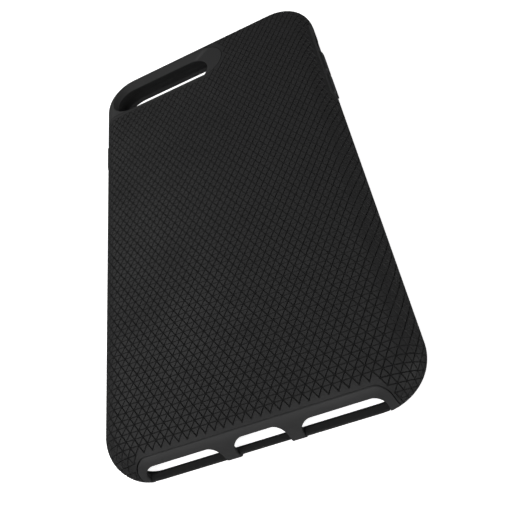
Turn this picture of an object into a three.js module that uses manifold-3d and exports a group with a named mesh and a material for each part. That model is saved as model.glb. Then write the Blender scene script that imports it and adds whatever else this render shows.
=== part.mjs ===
// A layered phone case, lying face-down on the lip round its mouth.
//
// Millimetres. +X is the side with the volume keys, +Y the end with the camera, +Z out of the case's back.
// The origin is the middle of the case, on the plane that the front lip lies on.
//
// A soft inner sleeve holds the phone. A hard textured shell covers it, and is cut away at four places,
// where smooth covers fill it flush: the camera corner, the port end, and a strip on each side that carries
// the keys.

import * as THREE from "three";
import { mergeVertices } from "three/addons/utils/BufferGeometryUtils.js";
import { ConvexGeometry } from "three/addons/geometries/ConvexGeometry.js";
import Module from "manifold-3d";

const wasm = await Module();
wasm.setup();

// The phone that the case is made for, and the room left round it.
const phoneWidth = 77.9;
const phoneLength = 158.2;
const phoneThickness = 7.3;
const phoneCorner = 11.7;
const phoneEdgeRound = 3.5;
const phoneSideFlat = 0.4;
const phoneRoom = 0.1;

// Walls round the pocket, and the lip that holds the phone in.
const sideWall = 1.95;
const endWall = 1.5;
const backWall = 1.8;
const cornerWall = 1.7;
const lipHeight = 1;
const lipOverlap = 1.65;

// How much wider than the pocket's round the outer back round is, across and down, and the front edge's
// round.
const backRoundMoreAcross = 2.9;
const backRoundMoreDown = 3.3;
const frontRound = 3;

// Layers, from the outside in. The covers end a little above the front, on a soft bead.
const coverThickness = 0.6;
const coverFoot = 0.1;
const layerGap = 0.15;
const seamGap = 0.2;

// Camera opening, placed from the left side and the camera end, with its collar and its sloping dish.
const cameraFromSide = 6.2;
const cameraFromEnd = 7.9;
const cameraSpan = 36.75;
const cameraHeight = 13.8;
const collarWidth = 2;
const cameraWallHeight = 0.3;
const dishLeft = 1.4;
const dishRight = 6.05;
const dishFar = 1.7;
const cameraRim = 0.45;
const cameraCoverStep = 3.3;

// Port end: one cover with a charging opening in the middle and a speaker opening on each side. Tops are
// measured down from the back, and a rail's top up from the lip.
const portCoverStep = 0.05;
const portCoverMargin = 1.9;
const portCoverFlare = 1.35;
const portCoverCorner = 3.6;
const railHeight = 2.45;
const portCorner = 3;
const chargingPort = { half: 6.5, drop: 1.95, recess: 0.5 };
const speakerPort = { half: 9.9, drop: 2.35, recess: 0.2 };
const portPillar = 3.25;

// Side strips and keys, laid out from the camera end: switch opening, volume up, volume down.
const stripDrop = 2.3;
const stripCorner = 3;
const stripMarginFar = 5;
const stripMarginNear = 2.9;
const switchFromEnd = 19.5;
const switchLength = 10.9;
const switchHeight = 4.3;
const switchBelowMiddle = 0.4;
const switchToKey = 1.3;
const keyHeight = 3.4;
const keyCorner = 1.4;
const keyProud = 0.35;
const keyFlange = 0.5;
const keyClearance = 0.3;
const keySpacing = 1.7;
const volumeKeyLength = 11;
const powerKeyLength = 12;
const powerStripMargin = 5.5;

// How finely round shapes are divided.
const cornerSteps = 4;
const slotSteps = 8;
const roundSteps = 5;
const samePoint = 1e-4;

// Sizes that follow.
const pocketHeight = phoneThickness + phoneRoom;
const pocketHalfWidth = phoneWidth / 2 + phoneRoom;
const pocketHalfLength = phoneLength / 2 + phoneRoom;
const pocketTop = lipHeight + pocketHeight;
const pocketCorner = phoneCorner + phoneRoom;
const pocketRound = Math.min(phoneEdgeRound, (pocketHeight - phoneSideFlat) / 2);
const halfWidth = pocketHalfWidth + sideWall;
const halfLength = pocketHalfLength + endWall;
const height = pocketTop + backWall;
const cornerRadius = pocketCorner + cornerWall;
const backRoundAcross = pocketRound + backRoundMoreAcross;
const backRoundDown = pocketRound + backRoundMoreDown;
const sleeveInset = coverThickness + layerGap;
const coverBottom = coverThickness + coverFoot;
const beadHeight = coverBottom - layerGap;
const beyond = 30;
const reach = 2 * (halfLength + beyond);

const cameraRadius = cameraHeight / 2;
const cameraLeft = -halfWidth + cameraFromSide + cameraRadius;
const cameraRight = cameraLeft + cameraSpan - 2 * cameraRadius;
const cameraY = halfLength - cameraFromEnd - cameraRadius;

const railTop = lipHeight + railHeight;
const speakerX = chargingPort.half + portPillar + speakerPort.half;
const portCoverTop = height - coverThickness - portCoverStep;
const portCoverHalf = speakerX + speakerPort.half + portCoverMargin;

const middle = lipHeight + phoneThickness / 2;
const stripTop = height - stripDrop;
const switchHigh = halfLength - switchFromEnd;
const switchLow = switchHigh - switchLength;
const volumeUpY = switchLow - switchToKey - volumeKeyLength / 2;
const volumeDownY = volumeUpY - volumeKeyLength - keySpacing;
const rightStrip = {
  low: volumeDownY - volumeKeyLength / 2 - stripMarginNear,
  high: switchHigh + stripMarginFar,
};
const powerHalf = powerKeyLength / 2 + powerStripMargin;
const leftStrip = { low: volumeUpY - powerHalf, high: volumeUpY + powerHalf };

// Turns a closed geometry into a solid that can be joined and cut.
function solid(geometry) {
  const bare = geometry.clone();
  bare.deleteAttribute("normal");
  bare.deleteAttribute("uv");
  const merged = mergeVertices(bare, samePoint);
  const vertProperties = new Float32Array(merged.attributes.position.array);
  const triVerts = new Uint32Array(merged.index.array);
  return new wasm.Manifold(new wasm.Mesh({ numProp: 3, vertProperties, triVerts }));
}

function geometryOf(manifold) {
  const mesh = manifold.getMesh();
  const places = new THREE.BufferAttribute(new Float32Array(mesh.vertProperties), mesh.numProp);
  const triangles = new THREE.BufferAttribute(new Uint32Array(mesh.triVerts), 1);
  const geometry = new THREE.BufferGeometry();
  geometry.setAttribute("position", places);
  geometry.setIndex(triangles);
  const apart = geometry.toNonIndexed();
  apart.computeVertexNormals();
  return apart;
}

// A rectangle with round corners, or with only its two upper corners round.
function rectangle(left, bottom, right, top, radius, roundBelow = true) {
  const shape = new THREE.Shape();
  const lower = roundBelow ? radius : 0;
  shape.moveTo(left + lower, bottom);
  shape.lineTo(right - lower, bottom);
  if (lower > 0) shape.absarc(right - lower, bottom + lower, lower, -Math.PI / 2, 0);
  shape.lineTo(right, top - radius);
  shape.absarc(right - radius, top - radius, radius, 0, Math.PI / 2);
  shape.lineTo(left + radius, top);
  shape.absarc(left + radius, top - radius, radius, Math.PI / 2, Math.PI);
  shape.lineTo(left, bottom + lower);
  if (lower > 0) shape.absarc(left + lower, bottom + lower, lower, Math.PI, Math.PI * 1.5);
  return shape;
}

// A slot lying along X, from the centre of one round end to the centre of the other.
function slot(leftX, rightX, y, radius) {
  const shape = new THREE.Shape();
  shape.moveTo(leftX, y - radius);
  shape.lineTo(rightX, y - radius);
  shape.absarc(rightX, y, radius, -Math.PI / 2, Math.PI / 2);
  shape.lineTo(leftX, y + radius);
  shape.absarc(leftX, y, radius, Math.PI / 2, Math.PI * 1.5);
  return shape;
}

function prismUp(shape, low, high, steps = cornerSteps) {
  const geometry = new THREE.ExtrudeGeometry(shape, {
    depth: high - low,
    bevelEnabled: false,
    curveSegments: steps,
  });
  return geometry.translate(0, 0, low);
}

// A prism along Y whose outline is drawn in X and Z.
function prismAlongY(shape, low, high) {
  return prismUp(shape, -high, -low).rotateX(Math.PI / 2);
}

// A prism along X whose outline is drawn in Y and Z.
function prismAlongX(shape, low, high) {
  return prismUp(shape, low, high).rotateX(Math.PI / 2).rotateZ(Math.PI / 2);
}

// A block with quarter-ellipse edges above and below, on a flat core with round corners.
function pillow(coreWidth, coreLength, coreCorner, across, down, low, high) {
  const core = rectangle(-coreWidth, -coreLength, coreWidth, coreLength, coreCorner);
  const geometry = new THREE.ExtrudeGeometry(core, {
    depth: high - low - 2 * down,
    bevelEnabled: true,
    bevelSize: across,
    bevelThickness: down,
    bevelSegments: roundSteps,
    curveSegments: cornerSteps,
  });
  return solid(geometry.translate(0, 0, low + down));
}

// The outer form of the whole case, moved in by inset on every side.
function form(inset) {
  const back = pillow(
    halfWidth - backRoundAcross,
    halfLength - backRoundAcross,
    cornerRadius - backRoundAcross,
    backRoundAcross - inset,
    backRoundDown - inset,
    -beyond,
    height - inset,
  );
  const front = pillow(
    halfWidth - frontRound,
    halfLength - frontRound,
    cornerRadius - frontRound,
    frontRound - inset,
    frontRound - inset,
    inset,
    height + beyond,
  );
  return back.intersect(front);
}

function slab(low, high) {
  return solid(new THREE.BoxGeometry(reach, reach, high - low).translate(0, 0, (low + high) / 2));
}

// The room for the phone, and the narrower mouth that it goes in by.
function pocket() {
  const room = pillow(
    pocketHalfWidth - pocketRound,
    pocketHalfLength - pocketRound,
    pocketCorner - pocketRound,
    pocketRound,
    pocketRound,
    lipHeight,
    pocketTop,
  );
  const mouthHalfWidth = pocketHalfWidth - lipOverlap;
  const mouthHalfLength = pocketHalfLength - lipOverlap;
  const mouthShape = rectangle(
    -mouthHalfWidth,
    -mouthHalfLength,
    mouthHalfWidth,
    mouthHalfLength,
    pocketCorner - lipOverlap,
  );
  return room.add(solid(prismUp(mouthShape, -beyond, middle)));
}

// ---- Camera corner ----

function cameraHole() {
  const shape = slot(cameraLeft, cameraRight, cameraY, cameraRadius);
  return solid(prismUp(shape, middle, height + beyond, slotSteps));
}

// The slope from the sharp edge of the opening out to the covers: gentle on the right, steep on the left and
// at the far side, and upright on the near side.
function cameraDish() {
  const low = pocketTop + cameraWallHeight;
  const wide = cameraRadius + dishFar / 2;
  const wideY = cameraY + dishFar / 2;
  const wideLeft = cameraLeft - cameraRadius - dishLeft + wide;
  const wideRight = cameraRight + cameraRadius + dishRight - wide;
  const lowRing = slot(cameraLeft, cameraRight, cameraY, cameraRadius).getPoints(slotSteps);
  const highRing = slot(wideLeft, wideRight, wideY, wide).getPoints(slotSteps);
  const points = [];
  for (const p of lowRing) points.push(new THREE.Vector3(p.x, p.y, low));
  for (const p of highRing) points.push(new THREE.Vector3(p.x, p.y, height));
  for (const p of highRing) points.push(new THREE.Vector3(p.x, p.y, height + beyond));
  return solid(new ConvexGeometry(points));
}

// The corner that the shell leaves open, seen from above: its near edge runs along the opening's own near
// edge, turns round the opening's right end and leaves over the camera end.
function cameraCorner(inset) {
  const near = cameraY - cameraRadius + inset;
  const right = cameraRight + cameraRadius + dishRight + cameraRim - inset;
  const radius = cameraRadius + dishFar / 2 + cameraRim / 2 - inset;
  const leaveAngle = Math.PI / 3;
  const centreX = right - radius;
  const centreY = near + radius;
  const leaveY = centreY + radius * Math.sin(leaveAngle);
  const overX = centreX + radius * Math.cos(leaveAngle) - cameraCoverStep;
  const shape = new THREE.Shape();
  shape.moveTo(-reach / 2, near);
  shape.lineTo(centreX, near);
  shape.absarc(centreX, centreY, radius, -Math.PI / 2, leaveAngle);
  shape.quadraticCurveTo(overX, leaveY + cameraCoverStep / 2, overX, leaveY + cameraCoverStep * 1.5);
  shape.lineTo(overX, reach / 2);
  shape.lineTo(-reach / 2, reach / 2);
  return solid(prismUp(shape, -beyond, height + beyond, slotSteps));
}

// The ring round the opening that is as thick as the whole back.
function cameraCollar(outset) {
  const radius = cameraRadius + collarWidth + outset;
  const right = cameraRight + cameraRadius + dishRight + outset - radius;
  return solid(prismUp(slot(cameraLeft, right, cameraY, radius), middle, height + beyond, slotSteps));
}

function cameraSurround(outer, coverInner, room) {
  const corner = cameraCorner(seamGap);
  const thickRing = outer.subtract(room).intersect(cameraCollar(0));
  const cover = outer.subtract(coverInner).intersect(corner).intersect(slab(coverBottom, height));
  const thick = thickRing.intersect(corner);
  const underShell = thickRing.intersect(slab(0, height - sleeveInset));
  return cover.add(thick).add(underShell).subtract(cameraHole()).subtract(cameraDish());
}

// ---- Port end ----

// The outline that the port cover fills: a little wider at the front edge than at the back.
function portCoverOutline(inset) {
  const top = portCoverTop - inset;
  const bottom = -beyond;
  const slope = portCoverFlare / portCoverTop;
  const halfTop = portCoverHalf - inset;
  const halfBottom = halfTop + slope * (top - bottom);
  const lean = Math.atan(slope);
  const cornerX = halfTop - portCoverCorner;
  const cornerZ = top - portCoverCorner;
  const shape = new THREE.Shape();
  shape.moveTo(-halfBottom, bottom);
  shape.lineTo(halfBottom, bottom);
  shape.absarc(cornerX, cornerZ, portCoverCorner, lean, Math.PI / 2);
  shape.absarc(-cornerX, cornerZ, portCoverCorner, Math.PI / 2, Math.PI - lean);
  shape.lineTo(-halfBottom, bottom);
  return shape;
}

function portEndPrism(shape) {
  return solid(prismAlongY(shape, -halfLength - beyond, -halfLength + cornerRadius));
}

function portCoverRegion(inset) {
  return portEndPrism(portCoverOutline(inset));
}

const ports = [
  { ...speakerPort, x: -speakerX },
  { ...chargingPort, x: 0 },
  { ...speakerPort, x: speakerX },
];

// An opening in the port end, from the height given up to the port's own top.
function portOpening(port, bottom) {
  const top = height - port.drop;
  return portEndPrism(rectangle(port.x - port.half, bottom, port.x + port.half, top, portCorner, false));
}

// The soft rail under a port: it fills the cover's notch, set back from the cover's face.
function portRail(port) {
  const half = port.half - seamGap;
  const block = new THREE.BoxGeometry(2 * half, endWall + frontRound, railTop);
  block.translate(port.x, -halfLength + (endWall + frontRound) / 2, railTop / 2);
  return solid(block).intersect(form(port.recess));
}

function portCover(outer, coverInner) {
  let cover = outer.subtract(coverInner).intersect(portCoverRegion(seamGap));
  cover = cover.intersect(slab(coverBottom, height));
  for (const port of ports) cover = cover.subtract(portOpening(port, -beyond));
  return cover;
}

// ---- Sides ----

// A prism through one side wall: side is 1 on the right and -1 on the left.
function sidePrism(shape, side) {
  const inner = pocketHalfWidth - pocketRound - cornerRadius / 2;
  const outerX = halfWidth + beyond;
  return solid(side > 0 ? prismAlongX(shape, inner, outerX) : prismAlongX(shape, -outerX, -inner));
}

function stripRegion(strip, side, inset) {
  const low = strip.low + inset;
  const high = strip.high - inset;
  return sidePrism(rectangle(low, -beyond, high, stripTop - inset, stripCorner, false), side);
}

function keyOutline(y, length, outset) {
  const half = length / 2 + outset;
  const rise = keyHeight / 2 + outset;
  return rectangle(y - half, middle - rise, y + half, middle + rise, keyCorner + outset / 2);
}

function switchOpening() {
  const bottom = middle - switchBelowMiddle - switchHeight / 2;
  const top = bottom + switchHeight;
  return sidePrism(rectangle(switchLow, bottom, switchHigh, top, switchHeight / 2 - seamGap), 1);
}

function sideCover(outer, coverInner, strip, side, keys) {
  let cover = outer.subtract(coverInner).intersect(stripRegion(strip, side, seamGap));
  cover = cover.intersect(slab(coverBottom, height));
  for (const key of keys) {
    const window = keyOutline(key.y, key.length, keyClearance);
    cover = cover.subtract(sidePrism(window, side));
  }
  return cover;
}

// A key: a cap that stands a little proud of its cover, on a wider flange that stays behind the cover.
function keySolid(key, side, room) {
  const capBar = sidePrism(keyOutline(key.y, key.length, 0), side);
  const flangeBar = sidePrism(keyOutline(key.y, key.length, keyFlange), side);
  const cap = capBar.intersect(form(-keyProud));
  const flange = flangeBar.intersect(form(coverThickness + keyClearance));
  return cap.add(flange).subtract(room);
}

const rightKeys = [
  { name: "volume_up_key", y: volumeUpY, length: volumeKeyLength },
  { name: "volume_down_key", y: volumeDownY, length: volumeKeyLength },
];
const leftKeys = [{ name: "power_key", y: volumeUpY, length: powerKeyLength }];

// The window in the sleeve that holds the flanges of one side's keys.
function sleeveKeyWindow(keys, side) {
  const outset = keyFlange + keyClearance;
  const low = Math.min(...keys.map((key) => key.y - key.length / 2)) - outset;
  const high = Math.max(...keys.map((key) => key.y + key.length / 2)) + outset;
  const rise = keyHeight / 2 + outset;
  return sidePrism(rectangle(low, middle - rise, high, middle + rise, keyCorner), side);
}

// ---- The two main layers ----

function gripShell(outer, coverInner) {
  return outer
    .subtract(coverInner)
    .intersect(slab(coverBottom, height))
    .subtract(cameraCorner(0))
    .subtract(portCoverRegion(0))
    .subtract(stripRegion(rightStrip, 1, 0))
    .subtract(stripRegion(leftStrip, -1, 0));
}

// The soft sleeve: the inner layer, a neck, and the bead at the front edge that the covers end on.
function innerSleeve(outer, room) {
  const neckShape = rectangle(
    -halfWidth + frontRound,
    -halfLength + frontRound,
    halfWidth - frontRound,
    halfLength - frontRound,
    cornerRadius - frontRound,
  );
  let sleeve = form(sleeveInset)
    .add(solid(prismUp(neckShape, 0, lipHeight + frontRound)))
    .add(outer.intersect(slab(-beyond, beadHeight)));
  for (const port of ports) {
    sleeve = sleeve.add(portRail(port));
    sleeve = sleeve.subtract(portOpening(port, -beyond).subtract(form(port.recess)));
    sleeve = sleeve.subtract(portOpening(port, railTop));
  }
  return sleeve
    .subtract(room)
    .subtract(cameraCollar(seamGap))
    .subtract(switchOpening())
    .subtract(sleeveKeyWindow(rightKeys, 1))
    .subtract(sleeveKeyWindow(leftKeys, -1));
}

// ---- Assembly ----

const finishes = {
  shell: { color: 0x232324, roughness: 0.78, metalness: 0 },
  sleeve: { color: 0x1c1c1d, roughness: 0.88, metalness: 0 },
  cover: { color: 0x353536, roughness: 0.55, metalness: 0 },
  key: { color: 0x262627, roughness: 0.6, metalness: 0 },
};

const phoneCase = new THREE.Group();

function place(name, manifold, finish) {
  const mesh = new THREE.Mesh(geometryOf(manifold), new THREE.MeshStandardMaterial(finish));
  mesh.name = name;
  phoneCase.add(mesh);
}

const outer = form(0);
const coverInner = form(coverThickness);
const room = pocket();

place("inner_sleeve", innerSleeve(outer, room), finishes.sleeve);
place("grip_shell", gripShell(outer, coverInner), finishes.shell);
place("camera_surround", cameraSurround(outer, coverInner, room), finishes.cover);
place("port_cover", portCover(outer, coverInner), finishes.cover);
place(
  "right_key_cover",
  sideCover(outer, coverInner, rightStrip, 1, rightKeys).subtract(switchOpening()),
  finishes.cover,
);
place("left_key_cover", sideCover(outer, coverInner, leftStrip, -1, leftKeys), finishes.cover);
for (const key of rightKeys) place(key.name, keySolid(key, 1, room), finishes.key);
for (const key of leftKeys) place(key.name, keySolid(key, -1, room), finishes.key);

export default phoneCase;
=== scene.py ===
# %% [markdown]
# # A layered phone case
#
# The case lies face-down. A soft sleeve holds the phone, a hard shell with a grip of small triangles covers the
# sleeve, and smooth covers fill the places where the shell is cut away: the camera corner, the port end and the
# strips that carry the keys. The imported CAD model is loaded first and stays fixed. Each of its nodes then gets a
# finely made piece in the same place.

# %% Load the frame
import math

import bpy
import numpy as np
from mathutils import Matrix, Vector


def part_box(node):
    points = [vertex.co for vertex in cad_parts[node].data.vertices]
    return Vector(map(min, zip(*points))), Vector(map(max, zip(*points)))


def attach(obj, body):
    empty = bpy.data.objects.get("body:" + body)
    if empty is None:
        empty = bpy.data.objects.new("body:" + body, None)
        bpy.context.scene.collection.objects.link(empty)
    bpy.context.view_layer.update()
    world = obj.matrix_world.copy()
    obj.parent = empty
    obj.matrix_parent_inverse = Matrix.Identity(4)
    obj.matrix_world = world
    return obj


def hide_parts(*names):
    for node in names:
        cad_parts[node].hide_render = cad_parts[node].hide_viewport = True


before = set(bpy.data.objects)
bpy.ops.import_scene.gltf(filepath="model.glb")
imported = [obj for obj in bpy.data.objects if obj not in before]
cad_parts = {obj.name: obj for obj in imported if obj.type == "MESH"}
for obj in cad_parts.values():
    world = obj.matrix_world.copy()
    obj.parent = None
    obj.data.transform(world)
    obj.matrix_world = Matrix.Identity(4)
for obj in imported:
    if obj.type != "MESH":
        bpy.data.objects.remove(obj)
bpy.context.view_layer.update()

# %% [markdown]
# ## Sizes
#
# The three outer sizes come from the CAD shell's own box. The rest repeat the sizes that the CAD part is driven by,
# in millimetres, because a maker thinks of a case in millimetres. A finished mesh is scaled to metres at the end.

# %% Sizes
MM = 0.001
shell_low, shell_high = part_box("grip_shell")
HALF_WIDTH, HALF_LENGTH, HEIGHT = (round(v / MM, 2) for v in shell_high)
COVER_BOTTOM = round(shell_low.z / MM, 2)

BACK_ACROSS, BACK_DOWN = 6.4, 6.8
FRONT_ROUND = 3.0
CORE_X = HALF_WIDTH - BACK_ACROSS
CORE_Y = HALF_LENGTH - BACK_ACROSS
CORE_CORNER = 7.1
CASE_CORNER = CORE_CORNER + BACK_ACROSS
ROUND_BOTTOM = HEIGHT - BACK_DOWN
FRONT_OUT = BACK_ACROSS - FRONT_ROUND

COVER_THICKNESS = 0.6
SLEEVE_INSET = 0.75
SEAM = 0.2
BEYOND = 20.0
print("case", 2 * HALF_WIDTH, "x", 2 * HALF_LENGTH, "x", HEIGHT, "mm")

# %% [markdown]
# ## Solids that can be joined and cut
#
# Moulded pieces like these could be modelled face by face, but every edge here is where two simple forms meet, as in
# the tool that moulds them. So each piece is made from closed solids that are joined and cut. The Boolean modifier's
# Manifold solver does that exactly, and keeps the result closed. The small class below lets a piece be written as a
# sum: a + b joins, a - b cuts b away, and a & b keeps what both hold.

# %% A solid with +, - and &
def mesh_from(points, faces):
    mesh = bpy.data.meshes.new("solid")
    mesh.from_pydata(points.tolist(), [], faces)
    mesh.update()
    return mesh


class Solid:
    """A closed mesh in millimetres."""

    def __init__(self, mesh):
        self.mesh = mesh

    def combined(self, other, operation):
        whole = bpy.data.objects.new("whole", self.mesh)
        tool = bpy.data.objects.new("tool", other.mesh)
        for item in (whole, tool):
            bpy.context.scene.collection.objects.link(item)
        cut = whole.modifiers.new("cut", "BOOLEAN")
        cut.operation = operation
        cut.solver = "MANIFOLD"
        cut.object = tool
        seen = whole.evaluated_get(bpy.context.evaluated_depsgraph_get())
        result = bpy.data.meshes.new_from_object(seen)
        for item in (whole, tool):
            bpy.data.objects.remove(item)
        if not result.polygons:
            raise ValueError(f"{operation} left nothing")
        return Solid(result)

    def __add__(self, other):
        return self.combined(other, "UNION")

    def __sub__(self, other):
        return self.combined(other, "DIFFERENCE")

    def __and__(self, other):
        return self.combined(other, "INTERSECT")


def stacked(outlines, heights):
    """A closed solid through a stack of outlines. Point (i, j) is outline i's point j at height i; each outline is
    joined to the next by a ring of quads, and the first and last are closed by flat caps."""
    count, rows = len(outlines[0]), len(outlines)
    levels = np.repeat(np.asarray(heights, float), count)
    points = np.column_stack([np.concatenate(outlines), levels])
    start = (np.arange(rows - 1) * count)[:, None]
    here = np.arange(count)
    after = (here + 1) % count
    sides = np.stack([start + here, start + after, start + count + after, start + count + here], axis=-1)
    lower = here[::-1].tolist()
    upper = (here + (rows - 1) * count).tolist()
    return points, sides.reshape(-1, 4).tolist() + [lower, upper]


def stack_solid(outlines, heights):
    return Solid(mesh_from(*stacked(outlines, heights)))


def prism(outline, low, high, along="Z"):
    """A straight bar with that outline. Along Z the outline is drawn in X and Y, along Y in X and Z, and along X in
    Y and Z; the bar is made upright and turned, never mirrored, so its faces keep pointing outwards."""
    if along == "Y":
        points, faces = stacked([outline, outline], [-high, -low])
        points = np.column_stack([points[:, 0], -points[:, 2], points[:, 1]])
    else:
        points, faces = stacked([outline, outline], [low, high])
        if along == "X":
            points = points[:, [2, 0, 1]]
    return Solid(mesh_from(points, faces))


# %% [markdown]
# ## Outlines
#
# Everything on the case has round corners, so the outlines are arcs joined by straight lines. An arc is a function
# of its angle, and the straight lines come by themselves between the end of one arc and the start of the next.

# %% Arcs, round rectangles and slots
ARC_STEPS = 16


def arc(x, y, radius, start, end, steps=ARC_STEPS):
    """Points at the centre plus the radius times (cosine, sine) of evenly spaced angles."""
    angle = np.radians(np.linspace(start, end, steps + 1))
    return np.column_stack([x + radius * np.cos(angle), y + radius * np.sin(angle)])


def rectangle(left, bottom, right, top, radius, round_below=True):
    """Four corner arcs, anticlockwise from the lower right; the lower two can be sharp."""
    upper = [
        arc(right - radius, top - radius, radius, 0, 90),
        arc(left + radius, top - radius, radius, 90, 180),
    ]
    if round_below:
        lower_left = arc(left + radius, bottom + radius, radius, 180, 270)
        lower_right = arc(right - radius, bottom + radius, radius, -90, 0)
    else:
        lower_left, lower_right = [(left, bottom)], [(right, bottom)]
    return np.vstack([lower_right, *upper, lower_left])


def slot(left, right, y, radius):
    """Two half circles round the points (left, y) and (right, y)."""
    right_end = arc(right, y, radius, -90, 90, 2 * ARC_STEPS)
    left_end = arc(left, y, radius, 90, 270, 2 * ARC_STEPS)
    return np.vstack([right_end, left_end])


def slab(low, high):
    reach = HALF_LENGTH + BEYOND
    square = np.array([(-reach, -reach), (reach, -reach), (reach, reach), (-reach, reach)])
    return prism(square, low, high)


print("an arc has", ARC_STEPS, "steps")


# %% [markdown]
# ## The form of the case
#
# The outer form is one profile carried round a flat core with round corners: a quarter ellipse from the back down to
# the side, a short wall, and a quarter circle in to the front. Every layer of the case is this form moved in by its
# own depth, so the layers fit each other everywhere.

# %% The profile and the form at any depth
CURVE_STEPS = 14


def profile(inset):
    """Distance out from the core and height, from the front up to the back: a quarter circle, then a quarter
    ellipse, both with their radii less the inset."""
    turn = np.radians(np.linspace(90, 0, CURVE_STEPS + 1))
    rise = turn[::-1]
    front = FRONT_ROUND - inset
    out = np.concatenate([FRONT_OUT + front * np.cos(turn), (BACK_ACROSS - inset) * np.cos(rise)])
    up = np.concatenate([FRONT_ROUND - front * np.sin(turn), ROUND_BOTTOM + (BACK_DOWN - inset) * np.sin(rise)])
    return out, up


def carried(core_x, core_y, corner, out, up):
    """A solid with a profile carried round a round rectangle: ring i is the rectangle grown by out[i], at up[i]."""
    rings = [rectangle(-core_x - d, -core_y - d, core_x + d, core_y + d, corner + d) for d in out]
    return stack_solid(rings, up)


def form(inset):
    return carried(CORE_X, CORE_Y, CORE_CORNER, *profile(inset))


outer = form(0)
cover_inner = form(COVER_THICKNESS)
print("outer form:", len(outer.mesh.polygons), "faces")

# %% [markdown]
# ## The room for the phone
#
# The pocket is a smaller block with round edges. The mouth below it is narrower, which leaves the lip that holds the
# phone in.

# %% Pocket and mouth
POCKET_X, POCKET_Y, POCKET_CORNER, POCKET_ROUND = 39.05, 79.2, 11.8, 3.5
POCKET_BOTTOM, POCKET_TOP = 1.0, 8.4
LIP = 1.65
MIDDLE = 4.65

turn = np.radians(np.linspace(0, 90, CURVE_STEPS + 1))
room_out = POCKET_ROUND * np.concatenate([np.sin(turn), np.cos(turn)])
room_up = np.concatenate([
    POCKET_BOTTOM + POCKET_ROUND * (1 - np.cos(turn)),
    POCKET_TOP - POCKET_ROUND * (1 - np.sin(turn)),
])
mouth = rectangle(-POCKET_X + LIP, -POCKET_Y + LIP, POCKET_X - LIP, POCKET_Y - LIP, POCKET_CORNER - LIP)
pocket = carried(
    POCKET_X - POCKET_ROUND, POCKET_Y - POCKET_ROUND, POCKET_CORNER - POCKET_ROUND, room_out, room_up
) + prism(mouth, -BEYOND, MIDDLE)
print("pocket:", 2 * POCKET_X, "x", 2 * POCKET_Y, "mm")

# %% [markdown]
# ## The camera corner
#
# The opening is a slot with a sharp upright edge. From that edge a dish slopes out to the cover, gently on the right
# and steeply on the left. The dish is a skin between two slots of different size, one low and one high. The cover's
# own outline follows the near side of the opening, turns round its right end and leaves over the camera end.

# %% Opening, dish, cover outline and collar
CAMERA_RADIUS, CAMERA_SPAN = 6.9, 36.75
CAMERA_FROM_SIDE, CAMERA_FROM_END = 6.2, 7.9
CAMERA_LEFT = -HALF_WIDTH + CAMERA_FROM_SIDE + CAMERA_RADIUS
CAMERA_RIGHT = CAMERA_LEFT + CAMERA_SPAN - 2 * CAMERA_RADIUS
CAMERA_Y = HALF_LENGTH - CAMERA_FROM_END - CAMERA_RADIUS
DISH_LEFT, DISH_RIGHT, DISH_FAR, CAMERA_RIM = 1.4, 6.05, 1.7, 0.45
CAMERA_WALL, COLLAR_WIDTH = 0.3, 2.0
LEAVE_ANGLE, LEAVE_STEP = 60, 3.3

camera_slot = slot(CAMERA_LEFT, CAMERA_RIGHT, CAMERA_Y, CAMERA_RADIUS)
camera_hole = prism(camera_slot, MIDDLE, HEIGHT + BEYOND)

dish_radius = CAMERA_RADIUS + DISH_FAR / 2
dish_top = slot(
    CAMERA_LEFT - CAMERA_RADIUS - DISH_LEFT + dish_radius,
    CAMERA_RIGHT + CAMERA_RADIUS + DISH_RIGHT - dish_radius,
    CAMERA_Y + DISH_FAR / 2,
    dish_radius,
)
camera_dish = stack_solid([camera_slot, dish_top, dish_top], [POCKET_TOP + CAMERA_WALL, HEIGHT, HEIGHT + BEYOND])


def camera_outline(inset):
    """The near edge, an arc round the right end, a short curve that straightens it, and far corners well outside
    the case. The short curve is a quadratic one: its start, its control point and its end are weighted by
    (1 - t) squared, 2 t (1 - t) and t squared."""
    near = CAMERA_Y - CAMERA_RADIUS + inset
    right = CAMERA_RIGHT + CAMERA_RADIUS + DISH_RIGHT + CAMERA_RIM - inset
    radius = CAMERA_RADIUS + DISH_FAR / 2 + CAMERA_RIM / 2 - inset
    bend = arc(right - radius, near + radius, radius, -90, LEAVE_ANGLE, 2 * ARC_STEPS)
    start = bend[-1]
    over = start[0] - LEAVE_STEP
    control = np.array([over, start[1] + LEAVE_STEP / 2])
    end = np.array([over, start[1] + LEAVE_STEP * 1.5])
    t = np.linspace(0, 1, ARC_STEPS + 1)[1:, None]
    curve = (1 - t) ** 2 * start + 2 * t * (1 - t) * control + t**2 * end
    far = HALF_LENGTH + BEYOND
    return np.vstack([(-far, near), bend, curve, (over, far), (-far, far)])


def camera_corner(inset):
    return prism(camera_outline(inset), -BEYOND, HEIGHT + BEYOND)


def camera_collar(outset):
    radius = CAMERA_RADIUS + COLLAR_WIDTH + outset
    right = CAMERA_RIGHT + CAMERA_RADIUS + DISH_RIGHT + outset - radius
    return prism(slot(CAMERA_LEFT, right, CAMERA_Y, radius), MIDDLE, HEIGHT + BEYOND)


print("camera opening:", CAMERA_SPAN, "x", 2 * CAMERA_RADIUS, "mm")

# %% [markdown]
# ## The port end
#
# One cover fills the end: a little wider at the front edge, with round upper corners. Each port is a notch that is
# open below, and the sleeve's rail closes it.

# %% Cover outline, notches and rails
PORT_TOP, PORT_HALF, PORT_FLARE, PORT_COVER_CORNER = 9.55, 31.45, 1.35, 3.6
RAIL_TOP, RAIL_THICKNESS, PORT_CORNER = 3.45, 4.5, 3.0
PORTS = [
    {"x": -19.65, "half": 9.9, "top": 7.85, "recess": 0.2},
    {"x": 0.0, "half": 6.5, "top": 8.25, "recess": 0.5},
    {"x": 19.65, "half": 9.9, "top": 7.85, "recess": 0.2},
]


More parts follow.
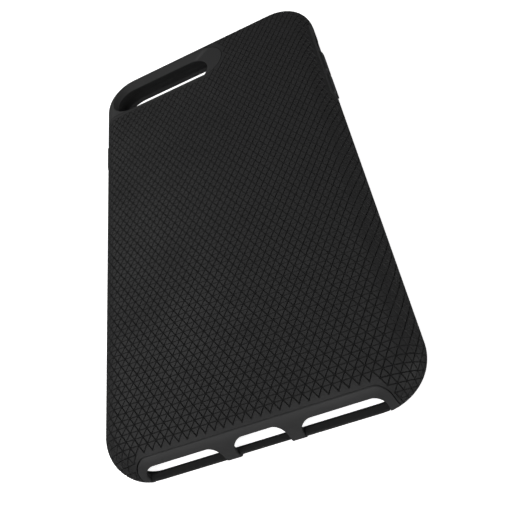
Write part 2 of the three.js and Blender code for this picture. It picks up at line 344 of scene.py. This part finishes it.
def port_outline(inset):
    """Two upper corner arcs, and two lower points that the leaning sides run down to."""
    top, half, slope = PORT_TOP - inset, PORT_HALF - inset, PORT_FLARE / PORT_TOP
    spread = half + slope * (top + BEYOND)
    lean = math.degrees(math.atan(slope))
    x, z = half - PORT_COVER_CORNER, top - PORT_COVER_CORNER
    return np.vstack([
        (-spread, -BEYOND),
        (spread, -BEYOND),
        arc(x, z, PORT_COVER_CORNER, lean, 90),
        arc(-x, z, PORT_COVER_CORNER, 90, 180 - lean),
    ])


def port_end(outline):
    return prism(outline, -HALF_LENGTH - BEYOND, -HALF_LENGTH + CASE_CORNER, "Y")


def port_notch(port, bottom):
    left, right = port["x"] - port["half"], port["x"] + port["half"]
    return port_end(rectangle(left, bottom, right, port["top"], PORT_CORNER, False))


def port_rail(port):
    left, right = port["x"] - port["half"] + SEAM, port["x"] + port["half"] - SEAM
    block = np.array([(left, 0), (right, 0), (right, RAIL_TOP), (left, RAIL_TOP)])
    return prism(block, -HALF_LENGTH, -HALF_LENGTH + RAIL_THICKNESS, "Y") & form(port["recess"])


print("port openings:", [f"{2 * port['half']} mm wide" for port in PORTS])

# %% [markdown]
# ## The sides
#
# Each side has a strip that is open below, with windows for its keys. The keys, their windows and the switch opening
# are outlines in Y and Z, pushed through the wall along X.

# %% Strips, key outlines and the switch opening
STRIP_TOP, STRIP_CORNER = 7.9, 3.0
RIGHT_STRIP, LEFT_STRIP = (22.4, 66.2), (32.0, 55.0)
KEY_HEIGHT, KEY_CORNER, KEY_PROUD, KEY_FLANGE, KEY_CLEARANCE = 3.4, 1.4, 0.35, 0.5, 0.3
SIDE_FROM = 28.8
SWITCH_LOW, SWITCH_HIGH, SWITCH_CORNER = (50.3, 2.1), (61.2, 6.4), 1.95

# Each key: its node, its body, its middle along Y and its length.
VOLUME_KEYS = [("volume_up_key", "volume_up", 43.5, 11.0), ("volume_down_key", "volume_down", 30.8, 11.0)]
POWER_KEYS = [("power_key", "power", 43.5, 12.0)]


def through_side(outline, side):
    near, far = SIDE_FROM, HALF_WIDTH + BEYOND
    return prism(outline, near, far, "X") if side > 0 else prism(outline, -far, -near, "X")


def strip_outline(strip, inset):
    return rectangle(strip[0] + inset, -BEYOND, strip[1] - inset, STRIP_TOP - inset, STRIP_CORNER, False)


def key_outline(y, length, outset):
    half, rise = length / 2 + outset, KEY_HEIGHT / 2 + outset
    return rectangle(y - half, MIDDLE - rise, y + half, MIDDLE + rise, KEY_CORNER + outset / 2)


def key_window(keys, side):
    """One window in the sleeve, wide enough for the flanges of all the keys on that side."""
    outset = KEY_FLANGE + KEY_CLEARANCE
    low = min(y - length / 2 for _, _, y, length in keys) - outset
    high = max(y + length / 2 for _, _, y, length in keys) + outset
    rise = KEY_HEIGHT / 2 + outset
    return through_side(rectangle(low, MIDDLE - rise, high, MIDDLE + rise, KEY_CORNER), side)


switch_opening = through_side(rectangle(*SWITCH_LOW, *SWITCH_HIGH, SWITCH_CORNER), 1)
print("keys:", [name for name, *_ in VOLUME_KEYS + POWER_KEYS])

# %% [markdown]
# ## Shading that follows the true form
#
# A cut mesh has long thin faces, and shading averaged from them looks dented. The true direction of the form is
# known at every point, so it is worked out and given to every corner whose face lies along the form. Other corners
# keep shading that is smooth up to a sharp edge.

# %% The form's direction, depth below it, and custom normals
def from_core(points):
    """For points in plan: how far outside the flat core each lies, and which way is out. The nearest point of the
    rectangle of corner centres is the point clipped to it, and the way out runs from there."""
    inner = np.array([CORE_X - CORE_CORNER, CORE_Y - CORE_CORNER])
    centre = np.clip(points, -inner, inner)
    away = points - centre
    length = np.linalg.norm(away, axis=1)
    way = away / np.maximum(length, 1e-9)[:, None]
    return length - CORE_CORNER, way, centre


def true_normals(points):
    """The outward direction of the form: up on the core, the ellipse's slope on the back round, level on the wall,
    and the circle's slope on the front round."""
    out, way, _ = from_core(points[:, :2])
    z = points[:, 2]
    on_back = z >= ROUND_BOTTOM
    level = np.where(on_back, np.maximum(out, 0) / BACK_ACROSS**2, 1.0)
    lift = np.where(on_back, (z - ROUND_BOTTOM) / BACK_DOWN**2, 0.0)
    on_front = z < FRONT_ROUND
    level = np.where(on_front, np.maximum(out - FRONT_OUT, 0), level)
    lift = np.where(on_front, z - FRONT_ROUND, lift)
    size = np.maximum(np.hypot(level, lift), 1e-9)
    return np.column_stack([way * (level / size)[:, None], lift / size])


def vertex_places(mesh):
    places = np.empty(len(mesh.vertices) * 3)
    mesh.vertices.foreach_get("co", places)
    return places.reshape(-1, 3)


def shade(mesh, along=20, sharp=28):
    """Smooth shading that breaks where two faces meet at more than the sharp angle, and the true direction on the
    faces within the other angle of the form. Both angles are in degrees."""
    mesh.shade_smooth()
    mesh.set_sharp_from_angle(angle=math.radians(sharp))
    corners = len(mesh.loops)
    normals = np.empty(corners * 3)
    mesh.corner_normals.foreach_get("vector", normals)
    normals = normals.reshape(-1, 3)
    corner_vertex = np.empty(corners, int)
    mesh.loops.foreach_get("vertex_index", corner_vertex)
    face_normal = np.empty(len(mesh.polygons) * 3)
    mesh.polygons.foreach_get("normal", face_normal)
    face_size = np.empty(len(mesh.polygons), int)
    mesh.polygons.foreach_get("loop_total", face_size)
    facing = np.repeat(face_normal.reshape(-1, 3), face_size, axis=0)
    true = true_normals(vertex_places(mesh))[corner_vertex]
    agree = (facing * true).sum(axis=1)
    lies_along = np.abs(agree) > math.cos(math.radians(along))
    normals[lies_along] = (true * np.sign(agree)[:, None])[lies_along]
    mesh.normals_split_custom_set(normals.tolist())


# %% [markdown]
# ## Writing materials as sums
#
# A material is a net of nodes. Placing each node by hand in code is long, so an output socket is wrapped in a class
# where +, - and * add the Math node themselves, and one method adds any other node.

# %% Wire and Finish
class Wire:
    """One output of a node in a finish."""

    def __init__(self, finish, socket):
        self.finish = finish
        self.socket = socket

    def math(self, operation, a, b):
        return self.finish.node("Math", {"operation": operation}, {0: a, 1: b})

    def __add__(self, other):
        return self.math("ADD", self, other)

    def __radd__(self, other):
        return self.math("ADD", other, self)

    def __sub__(self, other):
        return self.math("SUBTRACT", self, other)

    def __rsub__(self, other):
        return self.math("SUBTRACT", other, self)

    def __mul__(self, other):
        return self.math("MULTIPLY", self, other)

    def __rmul__(self, other):
        return self.math("MULTIPLY", other, self)


class Finish:
    """A material: node() adds a node and returns its output, and shader() fills the Principled shader's sockets."""

    def __init__(self, name):
        self.material = bpy.data.materials.new(name)
        self.material.use_nodes = True
        self.tree = self.material.node_tree
        self.place = self.node("TexCoord", {}, {}, "Object")

    def feed(self, socket, value):
        if isinstance(value, Wire):
            self.tree.links.new(value.socket, socket)
        else:
            socket.default_value = value

    def node(self, kind, settings, inputs, output=0):
        made = self.tree.nodes.new("ShaderNode" + kind)
        for name, value in settings.items():
            setattr(made, name, value)
        for key, value in inputs.items():
            self.feed(made.inputs[key], value)
        return Wire(self, made.outputs[output])

    def noise(self, size_mm, detail=3.0):
        """Noise from 0 to 1 whose patches are about that size."""
        return self.node("TexNoise", {}, {"Vector": self.place, "Scale": 1 / (size_mm * MM), "Detail": detail})

    def between(self, factor, low, high):
        """A colour that goes from low to high as the factor goes from 0 to 1. Either end can be a wire."""
        low, high = (end if isinstance(end, Wire) else (*end, 1) for end in (low, high))
        return self.node("Mix", {"data_type": "RGBA", "clamp_factor": True}, {0: factor, 6: low, 7: high}, 2)

    def ramp(self, value, low, high):
        """0 below low, 1 above high and straight between."""
        return self.node("MapRange", {}, {"Value": value, "From Min": low, "From Max": high})

    def bump(self, height, depth_mm):
        return self.node("Bump", {}, {"Height": height, "Distance": depth_mm * MM, "Strength": 1.0})

    def shader(self, **sockets):
        principled = self.tree.nodes["Principled BSDF"]
        for name, value in sockets.items():
            self.feed(principled.inputs[name.replace("_", " ").title().replace("Ior", "IOR")], value)


# %% [markdown]
# ## The finishes
#
# All the pieces are black, and differ in how they take light. The shell is a matte hard plastic, with shade painted
# into its grooves. The covers are slightly lighter and less matte, with a fine spark-eroded grain. The sleeve is dull
# rubber with soft blotches, and the keys have a satin face. Each finish mixes three sizes of noise: fine grain for
# the bump, and two wider ones for patches of colour and of gloss, as handling leaves them.

# %% Shell, cover, sleeve and key finishes
PATCH_MM, SMUDGE_MM, WEAR_MM = 7.0, 22.0, 5.0
SMUDGE_LOW, SMUDGE_HIGH = 0.35, 0.65
SMUDGE_DULLS, GRAIN_DULLS, SHINIEST = 0.1, 0.05, -0.06
GRAIN_DETAIL = 2.0


def moulded_finish(name, roughness, shine, grain_mm, grain_depth_mm):
    """Roughness moved up a little by smudges and by grain, and the grain again as a fine bump."""
    finish = Finish(name)
    finish.grain = finish.noise(grain_mm, GRAIN_DETAIL)
    smudges = finish.ramp(finish.noise(SMUDGE_MM), SMUDGE_LOW, SMUDGE_HIGH)
    finish.shader(
        roughness=roughness + SHINIEST + SMUDGE_DULLS * smudges + GRAIN_DULLS * finish.grain,
        normal=finish.bump(finish.grain, grain_depth_mm),
        specular_ior_level=shine,
    )
    return finish


def mottled(finish, dark, light):
    """Colour between dark and light by patches and grain in equal parts."""
    mixed = finish.noise(PATCH_MM) * 0.5 + finish.grain * 0.5
    finish.shader(base_color=finish.between(mixed, dark, light))


cover_finish = moulded_finish("smooth_cover", roughness=0.56, shine=0.3, grain_mm=0.12, grain_depth_mm=0.008)
sleeve_finish = moulded_finish("soft_sleeve", roughness=0.72, shine=0.3, grain_mm=0.22, grain_depth_mm=0.01)
key_finish = moulded_finish("satin_key", roughness=0.42, shine=0.5, grain_mm=0.1, grain_depth_mm=0.005)
shell_finish = moulded_finish("shell_grip", roughness=0.62, shine=0.3, grain_mm=0.16, grain_depth_mm=0.012)

mottled(cover_finish, (0.0235, 0.0235, 0.0239), (0.0345, 0.0345, 0.035))
mottled(sleeve_finish, (0.01, 0.01, 0.0102), (0.018, 0.018, 0.0183))
mottled(key_finish, (0.015, 0.015, 0.0153), (0.026, 0.026, 0.0264))

# The shell's colour comes from wear on its crests and from shade painted deeper into its grooves, so it isn't
# mottled.
crest = shell_finish.between(shell_finish.noise(WEAR_MM), (0.014, 0.014, 0.0142), (0.023, 0.023, 0.0234))
groove = shell_finish.node("Attribute", {"attribute_name": "groove"}, {}, 2)
# Painted shade: the deeper a point lies in a groove, the more its colour goes to the darker groove colour.
shell_finish.shader(base_color=shell_finish.between(groove, crest, (0.0148, 0.0148, 0.015)))
print("finishes:", [item.material.name for item in (shell_finish, cover_finish, sleeve_finish, key_finish)])

# %% [markdown]
# ## Handing over a finished piece
#
# A finished mesh is shaded, scaled to metres and put into an object at the origin. The object rides on the body that
# its CAD node belongs to, and stands in for that node.

# %% Place a piece
def place(name, solid, finish, body):
    mesh = solid.mesh
    mesh.name = name
    shade(mesh)
    mesh.transform(Matrix.Scale(MM, 4))
    mesh.materials.clear()
    mesh.materials.append(finish.material)
    piece = bpy.data.objects.new(name + "_piece", mesh)
    bpy.context.scene.collection.objects.link(piece)
    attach(piece, body)
    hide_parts(name)
    print(name, "-", len(mesh.polygons), "faces on", body)
    return piece


# %% [markdown]
# ## The sleeve
#
# The sleeve is the form moved in by the covers' depth, with a neck and a bead at the front edge that the covers end
# on. Rails close the ports from below. Then everything that passes through it is cut: the phone's room, the ports,
# the camera collar, the switch and the keys.

# %% Build the sleeve
BEAD_TOP, NECK_TOP = 0.55, 4
neck_x, neck_y = HALF_WIDTH - FRONT_ROUND, HALF_LENGTH - FRONT_ROUND
neck = rectangle(-neck_x, -neck_y, neck_x, neck_y, CASE_CORNER - FRONT_ROUND)
sleeve = form(SLEEVE_INSET) + prism(neck, 0, NECK_TOP) + (outer & slab(-BEYOND, BEAD_TOP))
for port in PORTS:
    sleeve = sleeve + port_rail(port)
    sleeve = sleeve - (port_notch(port, -BEYOND) - form(port["recess"]))
    sleeve = sleeve - port_notch(port, RAIL_TOP)
for tool in (
    pocket,
    camera_collar(SEAM),
    switch_opening,
    key_window(VOLUME_KEYS, 1),
    key_window(POWER_KEYS, -1),
):
    sleeve = sleeve - tool
place("inner_sleeve", sleeve, sleeve_finish, "case")

# %% [markdown]
# ## The grip of triangles
#
# The shell is covered with small flat triangles parted by V-shaped grooves. A bump map would look right face-on, but
# the real grip also notches the outline, so the grooves are real. The pattern is laid out flat as a lattice and then
# wrapped: a point's distance outside the core becomes a distance along the profile. Every tile has the same few
# faces. At its corners and along its edges the surface drops to the bottom of a groove, and its own smaller triangle
# stays at the top.

# %% Wrap a flat layout onto the form
SIDE = 2.3
ROW = SIDE * math.sqrt(3) / 2
ROW_START, COLUMN_START = -76.08, 0.0
GROOVE_HALF, GROOVE_DEPTH = 0.17, 0.28

# The profile as a line of points: the back's quarter ellipse, part of the front's quarter circle, and a straight tail
# that runs on below the shell's front edge.
FINE, FRONT_TURN, TAIL = 200, 50, 5.0
rise = np.radians(np.linspace(90, 0, FINE))
drop = np.radians(np.linspace(0, FRONT_TURN, FINE))
tail_way = np.array([-math.sin(drop[-1]), -math.cos(drop[-1])])
line_out = np.concatenate([BACK_ACROSS * np.cos(rise), FRONT_OUT + FRONT_ROUND * np.cos(drop)])
line_up = np.concatenate([ROUND_BOTTOM + BACK_DOWN * np.sin(rise), FRONT_ROUND * (1 - np.sin(drop))])
line_out = np.append(line_out, line_out[-1] + TAIL * tail_way[0])
line_up = np.append(line_up, line_up[-1] + TAIL * tail_way[1])
line_arc = np.concatenate([[0], np.cumsum(np.hypot(np.diff(line_out), np.diff(line_up)))])
line_level = np.concatenate([np.cos(rise) / BACK_ACROSS, np.cos(drop), [math.cos(drop[-1])]])
line_lift = np.concatenate([np.sin(rise) / BACK_DOWN, -np.sin(drop), [-math.sin(drop[-1])]])
line_size = np.hypot(line_level, line_lift)
EDGE_ARC = np.interp(-COVER_BOTTOM, -line_up, line_arc)


def wrapped(flat, sink):
    """Carries flat points onto the form, each sunk below it. Outside the core a point keeps its nearest core point,
    and its distance from there is measured along the profile."""
    distance, way, centre = from_core(flat)
    outside = distance > 0
    arc_at = np.maximum(distance, 0)
    out = np.interp(arc_at, line_arc, line_out)
    up = np.interp(arc_at, line_arc, line_up)
    level = np.interp(arc_at, line_arc, line_level / line_size)
    lift = np.interp(arc_at, line_arc, line_lift / line_size)
    plan = np.where(outside[:, None], centre + way * (CORE_CORNER + out - level * sink)[:, None], flat)
    return np.column_stack([plan, up - lift * sink])


print("back to front edge along the profile:", round(float(EDGE_ARC), 2), "mm")

# %% [markdown]
# Where the shell meets a cover or its front edge the grip stops short and leaves a plain border. A lattice point is
# part of the grip if it lies clear of each cover's outline. A groove runs between two points only if both are in the
# grip, and its middle too, a little further in from the port cover. So no groove runs along that cover's edge.

# %% Which lattice points belong to the grip
PLAIN_BORDER, POINT_TO_PORT, MIDDLE_TO_PORT = 0.5, 0.25, 0.5


def clear_of(points, outline):
    """How far each point lies outside a closed outline, negative inside: the least distance to any of its straight
    pieces, with the sign from how often a level ray crosses them."""
    a = outline[None, :, :]
    b = np.roll(outline, -1, axis=0)[None, :, :]
    p = points[:, None, :]
    along = b - a
    t = np.clip(((p - a) * along).sum(-1) / np.maximum((along**2).sum(-1), 1e-12), 0, 1)
    near = np.linalg.norm(p - a - along * t[..., None], axis=-1).min(axis=1)
    spans = (a[..., 1] > p[..., 1]) != (b[..., 1] > p[..., 1])
    rise_safe = np.where(np.abs(along[..., 1]) < 1e-12, 1e-12, along[..., 1])
    crosses = spans & (p[..., 0] < a[..., 0] + along[..., 0] * (p[..., 1] - a[..., 1]) / rise_safe)
    inside = crosses.sum(axis=1) % 2 == 1
    return np.where(inside, -near, near)


def in_grip(flat, port_border):
    places = wrapped(flat, np.zeros(len(flat)))
    x, y, z = places.T
    from_port = clear_of(places[:, [0, 2]], port_outline(0))
    from_right, from_left = (clear_of(places[:, 1:], strip_outline(strip, 0)) for strip in (RIGHT_STRIP, LEFT_STRIP))
    port_clear = (y > -CORE_Y) | (from_port > port_border)
    right_clear = (x < CORE_X) | (from_right > PLAIN_BORDER)
    left_clear = (x > -CORE_X) | (from_left > PLAIN_BORDER)
    camera_clear = clear_of(places[:, :2], camera_outline(0)) > PLAIN_BORDER
    return port_clear & right_clear & left_clear & camera_clear & (z > COVER_BOTTOM + PLAIN_BORDER)


# %% [markdown]
# Each tile is written once as weights on its three corners, so that all the tiles come from one product of arrays.
# Points that neighbouring tiles share are then found and merged, which closes the sheet. Its free edge lies below the
# shell's front edge, where a fan of triangles closes it into a solid that can be cut.

# %% Lay the tiles
ROWS_BEFORE, ROWS_AFTER, COLUMNS_BEYOND = 10, 6, 6
SLACK, FAN_DEPTH = 0.05, 8.0

# The small triangle's edges stand half a groove in from the tile's. Seen along an edge, its corner then lies the root
# of 3 times as far from the tile's corner. Both are kept as shares: near along an edge, deep towards the middle.
ROOT_OF_3 = 1.73
near = ROOT_OF_3 * GROOVE_HALF / SIDE
deep = 2 * GROOVE_HALF / (SIDE / math.sqrt(3))
corner_w = np.eye(3)
next_w = np.roll(corner_w, -1, axis=0)
inner_w = corner_w * (1 - deep) + deep / 3

# Points 0 to 2 are the tile's corners, 3 to 11 lie along its edges, 12 to 14 are the small triangle's corners and
# 15 to 17 the middles of its edges.
TILE_WEIGHTS = np.vstack([
    corner_w,
    corner_w * (1 - near) + next_w * near,
    (corner_w + next_w) / 2,
    corner_w * near + next_w * (1 - near),
    inner_w,
    (inner_w + np.roll(inner_w, -1, axis=0)) / 2,
])
TILE_QUADS, TILE_TRIANGLES = [], [(12, 15, 17), (15, 13, 16), (17, 16, 14), (15, 16, 17)]
for side in range(3):
    after = (side + 1) % 3
    TILE_TRIANGLES += [(side, 3 + side, 12 + side), (9 + side, after, 12 + after)]
    TILE_QUADS += [(3 + side, 6 + side, 15 + side, 12 + side), (6 + side, 9 + side, 12 + after, 15 + side)]
TILE_POINTS = len(TILE_WEIGHTS)

row_count = int((CORE_Y + EDGE_ARC) * 2 / ROW)
reach_columns = int((CORE_X + EDGE_ARC) / SIDE) + COLUMNS_BEYOND
rows = np.arange(-ROWS_BEFORE, row_count + ROWS_AFTER)
columns = np.arange(-reach_columns, reach_columns + 1)
column, row = (grid.ravel() for grid in np.meshgrid(columns, rows))


def lattice(column, row):
    """Row r lies r row-heights up, and every second row is moved half a side along."""
    x = COLUMN_START + SIDE * (column + 0.5 * (row % 2))
    return np.column_stack([x, ROW_START + ROW * row])


shifted = column + row % 2
upward = np.stack([lattice(column, row), lattice(column + 1, row), lattice(shifted, row + 1)], axis=1)
downward = np.stack([lattice(column, row), lattice(shifted, row + 1), lattice(shifted - 1, row + 1)], axis=1)
tiles = np.concatenate([upward, downward])
farthest = from_core(tiles.reshape(-1, 2))[0].reshape(-1, 3).max(axis=1)
tiles = tiles[farthest < EDGE_ARC + SIDE + SLACK]

middles = (tiles + np.roll(tiles, -1, axis=1)) / 2
corners_in = in_grip(tiles.reshape(-1, 2), POINT_TO_PORT).reshape(-1, 3)
middles_in = in_grip(middles.reshape(-1, 2), MIDDLE_TO_PORT).reshape(-1, 3)
edges_in = corners_in & np.roll(corners_in, -1, axis=1) & middles_in
sink = np.concatenate([corners_in, edges_in, edges_in, edges_in, np.zeros((len(tiles), 6))], axis=1) * GROOVE_DEPTH
flat = np.einsum("pc,tcd->tpd", TILE_WEIGHTS, tiles)
rounded = np.round(flat.reshape(-1, 2), 3)
_, first, shared = np.unique(rounded, axis=0, return_index=True, return_inverse=True)
shared = shared.reshape(len(tiles), TILE_POINTS)
sheet = wrapped(flat.reshape(-1, 2)[first], sink.reshape(-1)[first])
triangles = shared[:, np.array(TILE_TRIANGLES)].reshape(-1, 3)
quads = shared[:, np.array(TILE_QUADS)].reshape(-1, 4)

directed = np.concatenate(
    [triangles[:, [i, (i + 1) % 3]] for i in range(3)] + [quads[:, [i, (i + 1) % 4]] for i in range(4)]
)
code = directed[:, 0] * len(sheet) + directed[:, 1]
reverse = directed[:, 1] * len(sheet) + directed[:, 0]
free = directed[~np.isin(code, reverse)]
apex = len(sheet)
fan = np.column_stack([free[:, 1], free[:, 0], np.full(len(free), apex)])
grip_faces = np.concatenate([triangles, fan]).tolist() + quads.tolist()
grip = Solid(mesh_from(np.vstack([sheet, (0, 0, -FAN_DEPTH)]), grip_faces))
print(len(tiles), "tiles,", len(sheet), "points,", len(free), "free edges")

# %% [markdown]
# ## The shell
#
# The wrapped sheet is cut like the other layers: hollowed by the form moved in by the shell's thickness, trimmed at
# its front edge, and opened at the camera corner, the port end and both strips. How deep each point lies below the
# form is kept as an attribute, the mask by which the finish paints shade into the grooves.

# %% Build the shell
shell = grip & slab(COVER_BOTTOM, HEIGHT + BEYOND)
for tool in (
    cover_inner,
    camera_corner(0),
    port_end(port_outline(0)),
    through_side(strip_outline(RIGHT_STRIP, 0), 1),
    through_side(strip_outline(LEFT_STRIP, 0), -1),
):
    shell = shell - tool


def depth_below(points):
    """How far each point lies under the form. On the back round it is 1 less the point's share of the way out to
    the ellipse, times the ellipse's half width; on the front round, the radius less the distance from its centre; on
    the core, the height less the point's own; and on the wall, the wall's distance out less the point's."""
    out, _, _ = from_core(points[:, :2])
    z = points[:, 2]
    ellipse = 1 - np.hypot(np.maximum(out, 0) / BACK_ACROSS, (z - ROUND_BOTTOM) / BACK_DOWN)
    back = np.where(out > 0, ellipse * BACK_ACROSS, HEIGHT - z)
    front = FRONT_ROUND - np.hypot(np.maximum(out - FRONT_OUT, 0), z - FRONT_ROUND)
    return np.where(z >= ROUND_BOTTOM, back, np.where(z < FRONT_ROUND, front, BACK_ACROSS - out))


# The groove attribute masks painted shade: 0 on the form, 1 at a groove's full depth.
groove_shade_mask = shell.mesh.attributes.new("groove", "FLOAT", "POINT")
depths = depth_below(vertex_places(shell.mesh))
groove_shade_mask.data.foreach_set("value", np.clip(depths / GROOVE_DEPTH, 0, 1).astype(np.float32))
place("grip_shell", shell, shell_finish, "case")

# %% [markdown]
# ## The smooth covers
#
# The covers fill the shell's cut-outs flush, with a thin gap all round that shows as a dark line. The camera surround
# is the thickest of them: its collar goes through both layers to the phone.

# %% Camera surround
skin = outer - cover_inner
above_bead = slab(COVER_BOTTOM, HEIGHT)
corner = camera_corner(SEAM)
collar = camera_collar(0)
wall = outer - pocket
thick_ring = wall & collar
under_shell = thick_ring & slab(0, HEIGHT - SLEEVE_INSET)
surround = (skin & corner & above_bead) + (thick_ring & corner) + under_shell
surround = surround - camera_hole - camera_dish
place("camera_surround", surround, cover_finish, "case")

# %% [markdown]
# The port cover is the same skin, cut to the port end's outline and notched for the three ports.

# %% Port cover
port_cover = skin & port_end(port_outline(SEAM)) & above_bead
for port in PORTS:
    port_cover = port_cover - port_notch(port, -BEYOND)
place("port_cover", port_cover, cover_finish, "case")

# %% [markdown]
# Each side cover is the skin inside its strip, with a window a little larger than each key. Only the right one has
# the switch opening.

# %% Side covers
def side_cover(strip, side, keys):
    cover = skin & through_side(strip_outline(strip, SEAM), side) & above_bead
    for _, _, y, length in keys:
        cover = cover - through_side(key_outline(y, length, KEY_CLEARANCE), side)
    return cover


place("right_key_cover", side_cover(RIGHT_STRIP, 1, VOLUME_KEYS) - switch_opening, cover_finish, "case")
place("left_key_cover", side_cover(LEFT_STRIP, -1, POWER_KEYS), cover_finish, "case")

# %% [markdown]
# ## The keys
#
# A key is a cap that follows the side's curve and stands a little proud, on a wider flange that keeps it behind its
# cover. Each key rides on its own body, as the real key slides in and springs back.

# %% Build the keys
def key_solid(y, length, side):
    cap = through_side(key_outline(y, length, 0), side) & form(-KEY_PROUD)
    flange_form = form(COVER_THICKNESS + KEY_CLEARANCE)
    flange = through_side(key_outline(y, length, KEY_FLANGE), side) & flange_form
    return cap + flange - pocket


for keys, side in ((VOLUME_KEYS, 1), (POWER_KEYS, -1)):
    for name, body, y, length in keys:
        place(name, key_solid(y, length, side), key_finish, body)

# %% [markdown]
# ## Floor, light and camera
#
# The floor is a plain light table: it glows, so it stays pale and carries almost no shadow. It is left out of
# reflections, or the edges of the black plastic, seen at a low angle, would turn white.

# %% Floor
FLOOR_HALF, FLOOR_GLOW, FLOOR_PATCH_MM = 6.0, 0.95, 40.0
floor_mesh = bpy.data.meshes.new("floor")
floor_corners = [(x * FLOOR_HALF, y * FLOOR_HALF, 0) for x, y in ((-1, -1), (1, -1), (1, 1), (-1, 1))]
floor_mesh.from_pydata(floor_corners, [], [(0, 1, 2, 3)])
floor_finish = Finish("pale_floor")
floor_finish.shader(
    base_color=floor_finish.between(floor_finish.noise(FLOOR_PATCH_MM), (0.86, 0.86, 0.86), (0.9, 0.9, 0.9)),
    roughness=0.9,
    emission_color=(1, 1, 1, 1),
    emission_strength=FLOOR_GLOW,
)
floor_mesh.materials.append(floor_finish.material)
floor = bpy.data.objects.new("floor", floor_mesh)
bpy.context.scene.collection.objects.link(floor)
floor.visible_glossy = False
print("floor:", 2 * FLOOR_HALF, "m square")

# %% [markdown]
# The room gives the case almost no light, but is white where the camera sees it past the floor's far edge. Five area
# lights do the rest. The wide back light stands behind and to the left, and rakes across two of the three directions
# of groove, so those show best. The other four are weak, and the near light hangs close to the port end.

# %% World and lights
ROOM_ON_CASE, ROOM_SEEN = 0.05, 1.3
world = bpy.data.worlds.new("studio")
bpy.context.scene.world = world
world.use_nodes = True
nodes, links = world.node_tree.nodes, world.node_tree.links
background = nodes["Background"]
seen = nodes.new("ShaderNodeLightPath")
strength = nodes.new("ShaderNodeMapRange")
strength.inputs["To Min"].default_value = ROOM_ON_CASE
strength.inputs["To Max"].default_value = ROOM_SEEN
links.new(seen.outputs["Is Camera Ray"], strength.inputs["Value"])
links.new(strength.outputs["Result"], background.inputs["Strength"])
background.inputs["Color"].default_value = (1, 1, 1, 1)


def soft_light(name, place_m, aim_m, width, length, watts):
    lamp = bpy.data.lights.new(name, "AREA")
    lamp.shape = "RECTANGLE"
    lamp.size, lamp.size_y, lamp.energy = width, length, watts
    holder = bpy.data.objects.new(name, lamp)
    holder.location = place_m
    holder.rotation_euler = (Vector(aim_m) - Vector(place_m)).to_track_quat("-Z", "Y").to_euler()
    bpy.context.scene.collection.objects.link(holder)


soft_light("back_light", (-0.7, 0.75, 1.05), (0, 0, 0), 0.7, 0.7, 6.2)
soft_light("front_light", (0, -0.6, 0.8), (0, 0, 0), 0.5, 0.5, 0.8)
soft_light("near_light", (-0.06, -0.18, 0.26), (0, -0.05, 0), 0.15, 0.15, 0.4)
soft_light("left_light", (-0.8, -0.1, 0.5), (0, 0, 0), 0.4, 0.4, 0.4)
soft_light("right_light", (0.7, -0.38, 0.1), (0, 0, 0), 0.3, 0.15, 1.5)

# %% [markdown]
# The camera stands close over the port end, turned so that the case runs up to the left. Its three directions are
# made square to each other, and together they are its rotation. The lens is moved up a little against the film
# instead of tilting the camera.

# %% Camera
place_mm, up_way = Vector((40.96, -141.70, 128.45)), Vector((0.3231, 0.8033, 0.5003))
look = Vector((-0.2399, 0.5809, -0.7778)).normalized()
right = look.cross(up_way).normalized()
up_way = right.cross(look)
camera_data = bpy.data.cameras.new("camera")
camera_data.sensor_width, camera_data.lens = 36.0, 43.98
camera_data.shift_y = 0.1445
camera_data.clip_start, camera_data.clip_end = 0.005, 50.0
camera = bpy.data.objects.new("camera", camera_data)
turned = Matrix((right, up_way, -look)).transposed().to_4x4()
camera.matrix_world = Matrix.Translation(place_mm * MM) @ turned
bpy.context.scene.collection.objects.link(camera)
bpy.context.scene.camera = camera
bpy.context.scene.view_settings.view_transform = "Standard"
print("camera:", round(place_mm.length), "mm from the middle of the case, lens", camera_data.lens, "mm")
